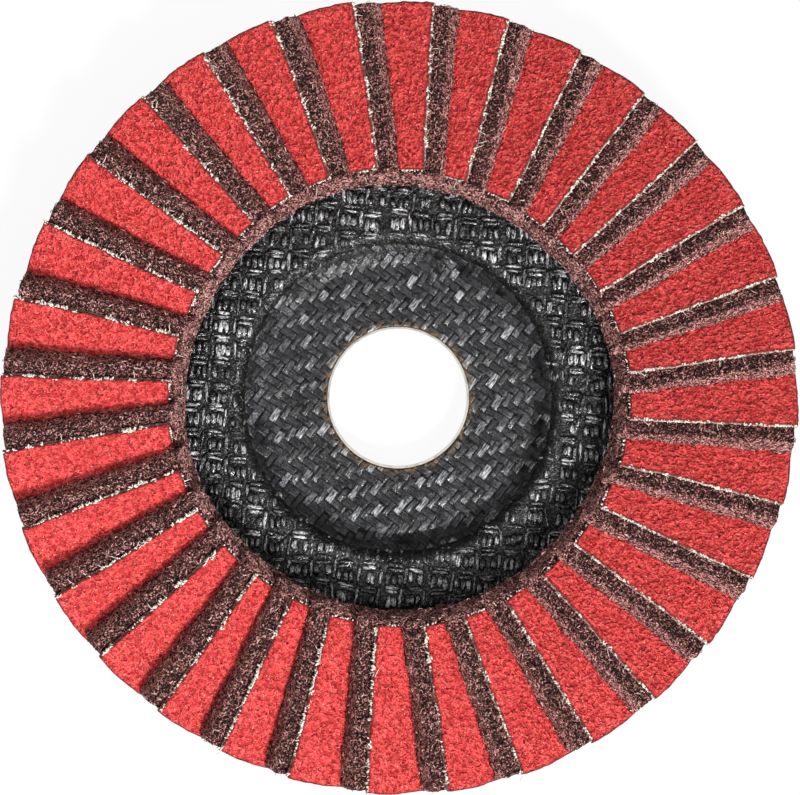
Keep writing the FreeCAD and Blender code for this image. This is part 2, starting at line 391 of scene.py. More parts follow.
def floor(x):
    """The whole number below."""
    return x.op("FLOOR") if isinstance(x, Field) else np.floor(x)


def sine(x):
    """Sine of an angle in radians."""
    return x.op("SINE") if isinstance(x, Field) else np.sin(x)


def size_of(x):
    """A number without its sign."""
    return x.op("ABSOLUTE") if isinstance(x, Field) else np.abs(x)


def below(x, limit):
    """1 where x is below the limit, otherwise 0."""
    return x.op("LESS_THAN", limit) if isinstance(x, Field) else (x < limit) * 1.0


def higher(x, y):
    """The larger of two."""
    return x.op("MAXIMUM", y) if isinstance(x, Field) else np.maximum(x, y)


def choose(pick, no, yes):
    """The second where pick is 0, the third where it is 1."""
    return no + pick * (yes - no)


def part(x):
    """What is left above the whole number below."""
    return x - floor(x)


def lot(i, j, k=0.0):
    """A number from 0 to 1 that looks drawn by lot for each pair of whole numbers."""
    return part(sine(i * 1.731 + j * 2.417 + k) * 91.73)


def hub_weave(x, y):
    """Two-over-two twill of the hub's cloth.

    Returns the height, 1 where the upper yarn rises to the right, its paleness and painted sheen, and
    closeness to its edges.
    Yarns that rise count along a, a broad and a narrow one in turn. The duller ones that fall count along b.
    """
    x = x + 0.12 * sine(y * 0.61 + 1.3) + 0.20 * sine(y * 0.23)
    y = y + 0.12 * sine(x * 0.53 + 0.4)
    c, s = math.cos(HUB_WEAVE_WAY) / HUB_WEAVE_PITCH, math.sin(HUB_WEAVE_WAY) / HUB_WEAVE_PITCH
    a, b = x * s - y * c, x * c + y * s
    i, j = floor(a), floor(b)
    order = j - i
    group = floor(order * 0.25)
    k = order - 4 * group
    up = below(k, 1.5)
    width = choose(up, b - j, a - i)
    far = choose(up, (3 - k + (a - i)) * 0.5, (k + (b - j)) * 0.5)
    run = choose(up, j, i)
    chance = lot(run, group, up * 2.3)
    narrow = (i - 2 * floor(i * 0.5)) * up
    # Rising yarns get the most: partly pale glass filaments, partly painted sheen; the falling ones stay
    # duller
    rising = choose(narrow, 0.34 + 2.40 * chance * chance, 0.24 + 0.80 * chance * chance)
    glass_and_painted_sheen = choose(up, 0.10 + 0.36 * chance, rising)
    edge = size_of(width * 2 - 1) * (1 + 0.26 * narrow)
    # The ends, where a yarn dives under the next, and spots at some of them are darkened in the material:
    # painted shade
    end = size_of(far * 2 - 1.10 + 0.20 * lot(group, run, 1.1)) * 0.90
    painted_end_shade = below(lot(group, run, 7.7), 0.45) * lot(run, group, 2.9)
    body = higher(1 - edge ** 6, 0.0) ** 0.5
    crown = higher(sine(far * math.pi), 0.0) ** 0.5
    lean = (lot(group, run, 4.1) - 0.5) * (width - 0.5) + (lot(run, group, 5.3) - 0.5) * (far - 0.5) * 1.6
    height = body * (0.45 + 0.55 * crown) * (0.50 + 0.30 * chance + 0.20 * up) + 0.7 * body * lean
    return height, up, glass_and_painted_sheen, higher(edge, end + 0.50 * painted_end_shade)


def surface_fields(tree):
    """The disc's x and y in millimetres, as fields."""
    split = tree.nodes.new("ShaderNodeSeparateXYZ")
    tree.links.new(place(tree, 0.0, (1000.0, 1000.0, 1000.0)), split.inputs[0])
    return Field(tree, split.outputs["X"]), Field(tree, split.outputs["Y"])


def make_coat():
    """Coated cloth: red grain on top with painted shade and highlights, a thin dark line of size coat, and
    cream cloth below.
    """
    material, tree, shader = new_material("coated_cloth", Specular_IOR_Level=0.25)
    where = place(tree)
    grain = speckle(tree, where, 0.40, 2.0)
    lumps = speckle(tree, where, 0.78, 1.0, 0.5)
    fine = speckle(tree, where, 0.15, 1.0)
    broad = speckle(tree, where, 4.0, 2.0)
    sparkles = speckle(tree, where, 0.24, 1.0)
    red = ramp(tree, grain, (0.36, (0.54, 0.025, 0.025)), (0.47, (0.81, 0.055, 0.054)),
               (0.60, (0.96, 0.108, 0.100)))
    # Painted shade in the hollows between the grain's lumps, and a painted highlight on their tops
    red = blend(tree, step(tree, lumps, 0.53, 0.38, 0.0, 0.68), red, (0.36, 0.012, 0.013))
    red = blend(tree, step(tree, lumps, 0.53, 0.64, 0.0, 0.30), red, (1.0, 0.15, 0.135))
    red = blend(tree, step(tree, broad, 0.3, 0.7, 0.0, 0.22), red, (0.58, 0.024, 0.026))
    red = blend(tree, step(tree, fine, 0.42, 0.32, 0.0, 0.50), red, (0.15, 0.008, 0.010))
    red = blend(tree, step(tree, sparkles, 0.66, 0.73, 0.0, 0.85), red, (0.88, 0.48, 0.43))
    rim = calc(tree, "SUBTRACT", value(tree, "rim"), calc(tree, "MULTIPLY", grain, 0.5))
    red = blend(tree, step(tree, rim, 0.10, -0.12, 0.0, 0.9), red, (0.20, 0.020, 0.022))
    weave = speckle(tree, where, 0.30, 2.0)
    gaps = speckle(tree, where, 1.3, 1.0)
    cream = ramp(tree, weave, (0.38, (0.09, 0.05, 0.04)), (0.50, (0.55, 0.46, 0.36)),
                 (0.60, (0.82, 0.76, 0.66)))
    cream = blend(tree, step(tree, gaps, 0.50, 0.36, 0.0, 0.75), cream, (0.10, 0.05, 0.04))
    uneven = calc(tree, "MULTIPLY", calc(tree, "SUBTRACT", grain, 0.5), 0.3)
    depth = calc(tree, "ADD", value(tree, "depth"), uneven)
    side = ramp(tree, step(tree, depth, 0.05, 0.65), (0.0, (0.40, 0.02, 0.02)),
                (0.40, (0.16, 0.05, 0.04)), (0.6, (0.5, 0.4, 0.3)))
    side = blend(tree, step(tree, depth, 0.22, 0.42), side, cream)
    colour = blend(tree, step(tree, depth, 0.04, 0.14), red, side)
    tree.links.new(colour, shader.inputs["Base Color"])
    tree.links.new(step(tree, grain, 0.3, 0.7, 0.70, 0.45), shader.inputs["Roughness"])
    relief(tree, shader, (lumps, 1.5, 1.0), (grain, 0.60, 1.0), (fine, 0.11, 0.9))
    return material


def make_fray():
    """Loose threads of the cloth."""
    material, tree, shader = new_material("cloth_threads", Roughness=0.85, Specular_IOR_Level=0.2)
    where = place(tree)
    tone = calc(tree, "ADD", value(tree, "tint"), calc(tree, "MULTIPLY", speckle(tree, where, 0.2), 0.35))
    colour = ramp(tree, tone, (0.15, (0.50, 0.38, 0.30)), (0.40, (0.76, 0.69, 0.59)),
                  (1.0, (0.86, 0.82, 0.75)))
    tree.links.new(colour, shader.inputs["Base Color"])
    relief(tree, shader, (speckle(tree, where, 0.08), 0.02, 0.5))
    return material


def make_web():
    """Body of a non-woven flap, seen between its fibres, with painted shade deep between them."""
    material, tree, shader = new_material("nonwoven_body", Roughness=0.9, Specular_IOR_Level=0.25)
    where = place(tree)
    strands = speckle(tree, where, 0.30, 2.0, 0.5)
    clumps = speckle(tree, where, 0.9, 2.0)
    mixed = calc(tree, "ADD", calc(tree, "MULTIPLY", strands, 0.8), calc(tree, "MULTIPLY", clumps, 0.2))
    # Paler where tint is 1, on the cut faces and the inner end: partly the paler sliced fibre ends, partly
    # painted light
    mixed = calc(tree, "ADD", mixed, calc(tree, "MULTIPLY", value(tree, "tint"), 0.062))
    # The near-black end of this scale is painted shade deep between the fibres; above it is the web's own
    # maroon to pinkish brown
    colour = ramp(tree, mixed, (0.44, (0.003, 0.002, 0.002)), (0.50, (0.034, 0.010, 0.008)),
                  (0.56, (0.21, 0.068, 0.061)), (0.63, (0.66, 0.34, 0.31)))
    tree.links.new(colour, shader.inputs["Base Color"])
    relief(tree, shader, (clumps, 0.6, 0.7), (strands, 0.6, 1.0))
    return material


def make_fibre():
    """Fibres of the non-woven web, from near black through maroon to pinkish grey."""
    material, tree, shader = new_material("nonwoven_fibres", Roughness=0.6, Specular_IOR_Level=0.35)
    where = place(tree)
    tone = calc(tree, "SUBTRACT", speckle(tree, where, 0.3, 1.0), 0.5)
    tone = calc(tree, "ADD", value(tree, "tint"), calc(tree, "MULTIPLY", tone, 0.9))
    colour = ramp(tree, tone, (0.25, (0.006, 0.003, 0.003)), (0.48, (0.060, 0.017, 0.014)),
                  (0.66, (0.23, 0.072, 0.062)), (0.84, (0.56, 0.25, 0.22)), (1.0, (0.78, 0.56, 0.51)))
    tree.links.new(colour, shader.inputs["Base Color"])
    relief(tree, shader, (speckle(tree, where, 0.1), 0.03, 0.6))
    return material


def streaks(tree, tow, size, turn):
    """Filament lines that run along whichever yarn is on top."""
    ways = ((0.14, 1.0, 1.0), (1.0, 0.14, 1.0))
    lines = [Field(tree, speckle(tree, place(tree, turn, way), size, 1.0)) for way in ways]
    return choose(tow, *lines)


def make_hub_laminate():
    """Twill cloth under a thin satin resin: filament lines, painted sheen and shade, black gaps, and brown
    resin at the bore.
    """
    material, tree, shader = new_material("laminate_twill", Specular_IOR_Level=0.5)
    x, y = surface_fields(tree)
    height, up, glass_and_painted_sheen, edge = hub_weave(x, y)
    where = place(tree)
    lines = streaks(tree, 1 - up, 0.15, math.degrees(HUB_WEAVE_WAY))
    pools = Field(tree, speckle(tree, where, 1.5, 3.0))
    spots = speckle(tree, where, 0.5, 2.0)
    # Filament lines lifted toward pale grey by the yarn's paleness and painted sheen
    bright = (lines - 0.36) * 2.6 * glass_and_painted_sheen * (0.3 + pools)
    colour = ramp(tree, bright.socket, (0.0, (0.006, 0.006, 0.007)), (0.30, (0.042, 0.043, 0.047)),
                  (1.0, (0.34, 0.345, 0.37)))
    # Near black along the yarns' sides, and painted shade at their ends where they dive under
    gaps = Field(tree, step(tree, edge.socket, 0.78, 0.92)) * (0.40 + 0.60 * up)
    colour = blend(tree, gaps.socket, colour, (0.001, 0.001, 0.001))
    # Painted shade on the dish's slope, where the hub rises to the carrier
    colour = blend(tree, step(tree, value(tree, "slope"), 0.0, 1.0, 0.0, 0.40), colour, (0.010, 0.010, 0.010))
    stains = step(tree, speckle(tree, where, 0.8, 2.0), 0.42, 0.62)
    brown = calc(tree, "MULTIPLY", value(tree, "tinge"), stains)
    colour = blend(tree, brown, colour, (0.13, 0.075, 0.035))
    tree.links.new(colour, shader.inputs["Base Color"])
    tree.links.new(step(tree, spots, 0.35, 0.65, 0.42, 0.16), shader.inputs["Roughness"])
    relief(tree, shader, (height.socket, 0.30, 0.9), (lines.socket, 0.12, 0.9))
    return material


def make_outer_laminate():
    """Glossy, lumpy black resin between the coarse yarns."""
    material, tree, shader = new_material("laminate_resin", Specular_IOR_Level=0.35)
    where = place(tree)
    blots = speckle(tree, where, 0.55, 2.0, 0.6)
    pools = speckle(tree, where, 1.8, 2.0)
    fine = speckle(tree, where, 0.22, 2.0)
    colour = ramp(tree, pools, (0.40, (0.002, 0.002, 0.002)), (0.52, (0.008, 0.007, 0.007)),
                  (0.66, (0.016, 0.014, 0.013)))
    colour = blend(tree, step(tree, fine, 0.55, 0.72, 0.0, 0.8), colour, (0.048, 0.040, 0.038))
    colour = blend(tree, step(tree, blots, 0.50, 0.40, 0.0, 0.90), colour, (0.002, 0.002, 0.002))
    tree.links.new(colour, shader.inputs["Base Color"])
    tree.links.new(step(tree, blots, 0.35, 0.65, 0.14, 0.34), shader.inputs["Roughness"])
    relief(tree, shader, (blots, 0.35, 0.9), (fine, 0.06, 0.7))
    return material


def make_yarn():
    """Coarse glass yarns soaked in black resin: painted shade on their flanks, bright filaments and painted
    glints on their crowns.
    """
    material, tree, shader = new_material("laminate_open_weave", Specular_IOR_Level=0.95)
    where = place(tree)
    chance, crown = Field(tree, value(tree, "chance")), Field(tree, value(tree, "crown"))
    lines = streaks(tree, Field(tree, value(tree, "upright")), 0.17, FRONT_MESH_TURN)
    blots = speckle(tree, where, 0.50, 2.0, 0.5)
    # Crowns are painted bright: pale filaments, partly real glass showing, and painted glints, strongest on
    # yarns with a high chance; the flanks keep painted shade
    bright = crown * (0.06 + 2.3 * chance * chance) * (lines * 3.3 - 1.20)
    colour = ramp(tree, bright.socket, (0.0, (0.003, 0.003, 0.003)), (0.22, (0.016, 0.015, 0.016)),
                  (1.0, (0.58, 0.57, 0.58)))
    colour = blend(tree, step(tree, blots, 0.47, 0.38, 0.0, 0.92), colour, (0.002, 0.002, 0.002))
    tree.links.new(colour, shader.inputs["Base Color"])
    tree.links.new(step(tree, blots, 0.35, 0.65, 0.12, 0.30), shader.inputs["Roughness"])
    relief(tree, shader, (blots, 0.22, 0.9), (lines.socket, 0.09, 0.8))
    return material


def make_tinplate():
    """Thin rolled tinplate with fine scratches and dull patches."""
    material, tree, shader = new_material("tinplate_satin", Metallic=1.0)
    where = place(tree)
    dull = speckle(tree, where, 1.6, 3.0)
    fine = speckle(tree, place(tree, 0.0, (1.0, 1.0, 6.0)), 0.25, 2.0)
    colour = ramp(tree, dull, (0.35, (0.52, 0.47, 0.40)), (0.6, (0.80, 0.77, 0.70)))
    tree.links.new(colour, shader.inputs["Base Color"])
    tree.links.new(step(tree, dull, 0.3, 0.7, 0.5, 0.28), shader.inputs["Roughness"])
    relief(tree, shader, (fine, 0.02, 0.5))
    return material


def make_glue():
    """Cured adhesive, amber brown and slightly glossy."""
    material, tree, shader = new_material("adhesive_amber", Specular_IOR_Level=0.5)
    where = place(tree)
    cloud = speckle(tree, where, 2.2, 3.0)
    colour = ramp(tree, cloud, (0.35, (0.07, 0.030, 0.014)), (0.65, (0.22, 0.105, 0.045)))
    tree.links.new(colour, shader.inputs["Base Color"])
    tree.links.new(step(tree, cloud, 0.3, 0.7, 0.5, 0.25), shader.inputs["Roughness"])
    relief(tree, shader, (speckle(tree, where, 0.5, 3.0), 0.15, 0.5))
    return material


coat, fray, web_body, web_fibre = make_coat(), make_fray(), make_web(), make_fibre()
twill_resin, open_resin, yarn = make_hub_laminate(), make_outer_laminate(), make_yarn()
tinplate, glue = make_tinplate(), make_glue()


# Cloth flaps

# The longest distance from a sheet's edge, in millimetres, that its material is told
LONGEST_RIM = 2.0


def add_cloth_sheet(shape, i):
    """A red flap's grained, slightly uneven sheet, whose cut edges show the cloth."""
    u = np.concatenate(([0.0], np.linspace(5.5, CLOTH_WIDTH, 29)))
    v = np.linspace(0.0, CLOTH_LENGTH, 75)
    V, U = np.meshgrid(v, u, indexing="ij")
    seed = SEED + 10 * i
    here = flat(U, V, 7.0 * i)
    free = smooth_step(13.0, CLOTH_WIDTH, U)
    outer, inner = smooth_step(CLOTH_LENGTH - 1.5, CLOTH_LENGTH, V), smooth_step(1.5, 0.0, V)
    ragged = 0.10 * noise(here, 0.7, seed) + 0.16 * noise(here, 3.5, seed + 1)
    cut_round = 0.35 * ((U - 11.0) / 5.0) ** 2 * outer
    W = 0.05 * noise(here, 1.1, seed + 2) + 0.10 * noise(here, 6.0, seed + 3)
    ends = smooth_step(1.2, 0.0, np.minimum(V, CLOTH_LENGTH - V))
    W -= 0.14 * smooth_step(0.5, 0.0, CLOTH_WIDTH - U) + 0.12 * ends
    W *= smooth_step(4.0, 7.0, U)
    rim = np.minimum(np.minimum(V, CLOTH_LENGTH - V), CLOTH_WIDTH - U)
    rim = np.minimum(rim, LONGEST_RIM)
    V = V + 0.10 * noise(here, 1.0, seed + 4) * (outer - inner) - cut_round
    U = U + ragged * free
    start = shape.add(on_flap(i, U, V, W), depth=np.zeros(U.size), rim=rim)
    rows, columns = U.shape
    shape.face(grid(rows, columns, start))

    index = np.arange(rows * columns).reshape(rows, columns)
    loop = np.concatenate([index[0, :-1], index[:-1, -1], index[-1, :0:-1], index[:0:-1, 0]])
    around = len(loop)
    edge_u, edge_v, edge_w = U.ravel()[loop], V.ravel()[loop], W.ravel()[loop]
    upper = start + loop
    after = np.roll(np.arange(around), -1)
    rims = np.full(around, LONGEST_RIM)
    for depth, bulge, follow in ((0.38, 0.05, 0.5), (CLOTH_THICKNESS, -0.02, 0.0)):
        push = bulge + 0.07 * noise(flat(edge_u * 3, edge_v * 3, depth * 9 + i), 1.2, seed + 5)
        push_u = np.where(edge_u > CLOTH_WIDTH - 0.6, push, 0)
        push_v = np.where(edge_v > CLOTH_LENGTH - 0.8, push, np.where(edge_v < 0.4, -push, 0))
        points = on_flap(i, edge_u + push_u, edge_v + push_v, follow * edge_w - depth)
        lower = shape.add(points, depth=np.full(around, depth), rim=rims) + np.arange(around)
        shape.face(np.stack([lower, lower[after], upper[after], upper], -1), smooth=False)
        upper = lower
    shape.face(upper[::-1][None], smooth=False)


def add_cloth_threads(shape, i):
    """Tufts of cut yarn along a flap's free edge and at its inner end, and a few long stray threads."""
    draw = np.random.default_rng(1000 + i)
    worn = 0.58 - 0.42 * math.cos(flap_turn[i] - FRAYED_LEAST)
    tufts = np.cumsum(draw.gamma(1.5, 0.75 + 0.25 * worn, 60))
    tufts = tufts[tufts < CLOTH_LENGTH - 0.2]
    broad = draw.uniform(0.10, 0.25 + 0.55 * worn, len(tufts))
    per_tuft = np.round(2 + broad * 14).astype(int)
    tuft = np.repeat(np.arange(len(tufts)), per_tuft)
    at = np.clip(tufts[tuft] + draw.normal(0.0, 1.0, len(tuft)) * broad[tuft], 0.05, CLOTH_LENGTH - 0.1)
    long_edge = len(at)
    inner = draw.uniform(8.5, CLOTH_WIDTH, 22)
    total = long_edge + len(inner)
    base_u = np.concatenate([np.full(long_edge, CLOTH_WIDTH - 0.16), inner])[:, None]
    base_v = np.concatenate([at, np.full(len(inner), 0.12)])[:, None]
    base_w = -draw.uniform(0.20, 0.65, total)[:, None]
    lean = np.concatenate([draw.normal(0.0, 0.6, len(tufts))[tuft], np.zeros(len(inner))])
    angle = lean + draw.normal(0.0, 0.35, total)
    outwards, inwards = angle[:long_edge], angle[long_edge:]
    head_u = np.concatenate([np.cos(outwards), np.sin(inwards)])[:, None]
    head_v = np.concatenate([np.sin(outwards), -np.cos(inwards)])[:, None]
    size = np.concatenate([draw.uniform(0.45, 0.9 + 0.6 * worn, len(tufts))[tuft], np.full(len(inner), 0.7)])
    head_w = draw.uniform(0.1, 1.1, total)
    reach = draw.uniform(0.40, 0.85, total) * size
    stray = draw.random(total) < 0.02
    reach = np.where(stray, draw.uniform(1.0, 2.4, total), reach)[:, None]
    head_w = np.where(stray, head_w * 0.4, head_w)[:, None]
    curl = (draw.uniform(-0.5, 0.5, total) * np.where(stray, 1.6, 0.8))[:, None]
    radii = np.where(stray, 0.06, draw.uniform(0.09, 0.17, total))
    k = np.linspace(0.0, 1.0, 4)[None, :]
    spine_u = base_u + reach * (head_u * k - head_v * curl * k * k)
    spine_v = base_v + reach * (head_v * k + head_u * curl * k * k)
    spine_w = base_w + reach * head_w * k * (1.3 - 0.5 * k)
    tint = draw.uniform(0.1, 0.9, total)
    add_strands(shape, on_flap(i, spine_u, spine_v, spine_w), radii, 1, tint=tint)


def make_cloth_flap(i):
    """One red flap with its loose threads."""
    shape = Shape()
    add_cloth_sheet(shape, i)
    add_cloth_threads(shape, i)
    return shape.build(f"cloth_{i + 1:02d}", [coat, fray], "coated_cloth", f"abrasive_flap_{i + 1:02d}")


# Non-woven flaps

WEB_INNER, WEB_OUTER = -WEB_LEAD, CLOTH_LENGTH - WEB_SETBACK
WEB_EDGE = CLOTH_WIDTH + WEB_OVERHANG
WEB_STATIONS = 73
# The section: places under the own cloth, how many points show past it, and places under the body
WEB_TOP = (0.0, 5.0, 8.0, 9.5, 11.0, 12.5, 14.2)
WEB_SHOWN = 19
WEB_UNDER = (13.0, 9.0, 5.0, 2.0)
# How much the lip inside the cloth's inner end stands up
WEB_LIP = 0.85


def add_web_body(shape, i):
    """A non-woven flap's springy body between its own cloth and the next. Returns its skin's points."""
    seed = SEED + 500 + 10 * i
    v = np.linspace(WEB_INNER, WEB_OUTER, WEB_STATIONS)
    wander = 0.18 * noise(flat(v, i * 5.0, 0.0), 3.0, seed)
    wander += 0.08 * noise(flat(v, i * 5.0, 9.0), 1.0, seed + 1)
    lip = smooth_step(0.1, -0.7, v)[:, None]
    drop = room_below(i, WEB_EDGE, v)[:, None]
    top_u = np.broadcast_to(np.array(WEB_TOP)[None, :], (len(v), len(WEB_TOP)))
    top_w = -CLOTH_THICKNESS + WEB_LIP * lip * smooth_step(3.0, 8.0, top_u)
    first = WEB_TOP[-1] + 0.5
    flat_run = (WEB_EDGE - first + wander)[:, None]
    path = np.linspace(0.0, 1.0, WEB_SHOWN)[None, :] * (flat_run + drop)
    swell = 0.10 * np.sin(np.pi * np.clip((path - flat_run) / drop, 0, 1))
    shown_u = first + np.minimum(path, flat_run) + swell
    shown_w = -CLOTH_THICKNESS - np.maximum(path - flat_run, 0) + WEB_LIP * lip * (path < flat_run)
    for line in (shown_u, shown_w):
        line[:, 1:-1] = (line[:, :-2] + 2 * line[:, 1:-1] + line[:, 2:]) / 4
    under_u = np.broadcast_to(np.array(WEB_UNDER)[None, :], (len(v), len(WEB_UNDER)))
    under_w = -CLOTH_THICKNESS - room_below(i, under_u, v[:, None])
    U = np.concatenate([top_u, shown_u, under_u], 1)
    W = np.concatenate([top_w, shown_w, under_w], 1)
    V = np.broadcast_to(v[:, None], U.shape)
    bottom = -CLOTH_THICKNESS - room_below(i, U, V)
    W = bottom + (W - bottom) * (1 - 0.88 * np.clip((-0.35 - V) / 1.85, 0, 1) ** 1.2)

    du = np.roll(U, -1, 1) - np.roll(U, 1, 1)
    dw = np.roll(W, -1, 1) - np.roll(W, 1, 1)
    length = np.hypot(du, dw) + 1e-9
    open_columns = np.zeros(U.shape)
    open_columns[:, len(WEB_TOP) + 1:len(WEB_TOP) + WEB_SHOWN - 1] = 1.0
    open_columns[:, 2:len(WEB_TOP)] = lip
    here = flat(U + 31.0 * i, V, W * 1.5)
    rough = 0.02 + 0.20 * noise(here, 0.8, seed + 2) + 0.16 * noise(here, 0.42, seed + 3)
    U = U - dw / length * rough * open_columns
    W = W + du / length * rough * open_columns
    ragged = 0.15 * noise(here, 0.8, seed + 4)
    inner_end = smooth_step(WEB_INNER + 1.0, WEB_INNER, V)
    outer_end = smooth_step(WEB_OUTER - 1.0, WEB_OUTER, V)
    V = V + ragged * (outer_end + 2 * inner_end) + 0.25 * noise(here, 2.4, seed + 5) * inner_end
    skin = on_flap(i, U, V, W)
    rows, columns = U.shape
    # tint is 1 below the cloth and at the inner end, where the body's material paints the web paler: partly
    # sliced fibre ends, partly painted light
    below_cloth = smooth_step(-CLOTH_THICKNESS - 0.1, -CLOTH_THICKNESS - 0.5, W)
    start = shape.add(skin, tint=np.maximum(below_cloth, smooth_step(-0.4, -0.9, V)))
    shape.face(grid(rows, columns, start, True))
    shape.face(start + np.arange(columns)[::-1][None], smooth=False)
    shape.face(start + (rows - 1) * columns + np.arange(columns)[None], smooth=False)
    return skin


def add_web_fibres(shape, i, skin):
    """The loose fibres that stand off a non-woven flap's skin and its end faces."""
    draw = np.random.default_rng(2000 + i)

    def sample(count, rows_to, from_column, to_column):
        """Random places on the skin, with the way out and one way along it."""
        row = draw.uniform(0, rows_to - 1.001, count)
        column = draw.uniform(from_column, to_column - 0.001, count)
        r, c = row.astype(int), column.astype(int)
        down, across = (row - r)[:, None], (column - c)[:, None]
        a, b, d = skin[r, c], skin[r, c + 1], skin[r + 1, c]
        return a + (b - a) * across + (d - a) * down, unit(np.cross(b - a, d - a)), unit(d - a)

    def end_sample(count, v, outwards):
        """Random places on an end face, with the way out and one way along it."""
        u = draw.uniform(4.0, WEB_EDGE, count)
        room = room_below(i, u, v)
        w = -CLOTH_THICKNESS - draw.uniform(0, 1, count) * room
        at = on_flap(i, u, v, w)
        way = on_flap(i, u, v + outwards, w) - at
        cross = on_flap(i, u + 1.0, v, w) - at
        return at, unit(way), unit(cross)

    lead_rows = int(WEB_STATIONS * WEB_LEAD / (CLOTH_LENGTH + WEB_LEAD)) + 1
    shown = len(WEB_TOP)
    samples = [
        sample(350, WEB_STATIONS, shown, shown + WEB_SHOWN - 1),
        sample(84, lead_rows, 2, shown - 1),
        end_sample(42, WEB_OUTER, 1.0),
        end_sample(30, WEB_INNER, -1.0),
    ]
    at, out, along = (np.concatenate(parts) for parts in zip(*samples))
    count = len(at)
    angle = draw.uniform(0, 2 * math.pi, count)[:, None]
    side = np.cross(out, along)
    head = np.cos(angle) * along + np.sin(angle) * side
    across = np.cross(out, head)
    reach = draw.uniform(0.38, 1.25, count)[:, None]
    curl = draw.uniform(-1.1, 1.1, count)[:, None]
    lift = draw.uniform(0.05, 0.30, count)[:, None]
    spines = []
    for k in (-1.0, -0.5, 0.0, 0.5, 1.0):
        bend = curl * (k * k - 0.5) * 0.5 + draw.uniform(-0.07, 0.07, (count, 1))
        rise = lift * (1 - k * k) - 0.02
        spines.append(at + head * k * reach / 2 + across * bend * reach / 2 + out * rise)
    tint = draw.random(count)
    add_strands(shape, np.stack(spines, 1), draw.uniform(0.048, 0.095, count), 1, tint=tint)


def make_web_pair(i):
    """Two opposite non-woven flaps, which share a node."""
    shape = Shape()
    for index in (i, i + PAIRS // 2):
        add_web_fibres(shape, index, add_web_body(shape, index))
    other = i + 1 + PAIRS // 2
    node = f"nonwoven_flaps_{i + 1:02d}_{other:02d}"
    return shape.build(f"web_{i + 1:02d}_{other:02d}", [web_body, web_fibre], "nonwoven_web", node)


# Backing plate

def dish_height(r, hub, flat_radius, run, front):
    """Height of a pressed face at a radius: flat hub, softly bent slope and flat carrier."""
    t = np.clip((r - flat_radius) / run, 0, 1)
    straight = hub + (front - hub) * t
    soft = hub + (front - hub) * t * t * (3 - 2 * t)
    return 0.30 * straight + 0.70 * soft


SECTORS = 480


def polar(radii):
    """Angles and radii of rings of points, row by row."""
    angle = np.linspace(0, 2 * math.pi, SECTORS, endpoint=False)
    return np.meshgrid(radii, angle, indexing="ij")


def add_rings(shape, rings):
    """Joins rings of points, out over the front and back again, into one closed turned body."""
    points = np.concatenate([r[0] for r in rings])
    values = {name: np.concatenate([r[1][name].ravel() for r in rings]) for name in rings[0][1]}
    count = len(points)
    start = shape.add(points, **values)
    faces = grid(count + 1, SECTORS, 0, True)[:, ::-1] % (count * SECTORS)
    shape.face(start + faces)


def plate_front(r):
    """The plate's front surface at a radius."""
    return dish_height(r, HUB_FRONT, HUB_FLAT, DISH_RUN, PLATE_FRONT)


def plate_back(r):
    """The plate's back surface at a radius."""
    return dish_height(r, 0.0, HUB_FLAT, BACK_DISH_RUN, HUB_OFFSET)


def make_plate_body():
    """The plate's resin body, front and back, with its cut rim and bore."""
    shape = Shape()
    rings = []

    def ring(radii, z):
        """Smooth rings at one height."""
        R, A = polar(np.atleast_1d(np.asarray(radii, float)))
        rings.append(flat(R * np.cos(A), R * np.sin(A), z))

    def lumpy(radii, seed, size, height):
        """Radii and places of rings, and how high they stand there."""
        R, A = polar(radii)
        x, y = R * np.cos(A), R * np.sin(A)
        return R, x, y, height * noise(flat(x, y), size, seed)

    face_rim = PLATE_RIM - PLATE_BEVEL
    ring(PLATE_BORE, SEAT_DEPTH + BORE_BEVEL)
    ring([PLATE_BORE, 16.0, 21.0], HUB_FRONT - HUB_RESIN_DEPTH)
    seen_radii = np.linspace(23.0, 36.0, 31)
    R, x, y, lumps = lumpy(np.concatenate([seen_radii, [39.0, 44.0, 50.0, face_rim]]), 320, 0.8, 0.10)
    sunk = HUB_RESIN_DEPTH * smooth_step(HUB_CLOTH_RIM - 0.5, HUB_CLOTH_RIM - 1.7, R)
    sunk += YARN_DEPTH * smooth_step(24.5, 28.0, R)
    rings.append(flat(x, y, plate_front(R) - sunk * smooth_step(38.0, 36.0, R) + lumps))
    ring(PLATE_RIM, PLATE_FRONT - PLATE_BEVEL)
    ring(PLATE_RIM, HUB_OFFSET + PLATE_BEVEL)
    R, x, y, lumps = lumpy(np.linspace(face_rim, SEAT_RIM + 0.3, 24), 321, 1.1, 0.08)
    rings.append(flat(x, y, plate_back(R) + YARN_DEPTH * smooth_step(SEAT_RIM, 20.5, R) + lumps))
    ring(SEAT_RIM, SEAT_DEPTH)
    ring(PLATE_BORE + BORE_BEVEL, SEAT_DEPTH)
    add_rings(shape, [(r, {"chance": np.zeros(len(r))}) for r in rings])
    return shape.build("plate_resin", [open_resin], "glass_cloth_laminate", "backing_plate")


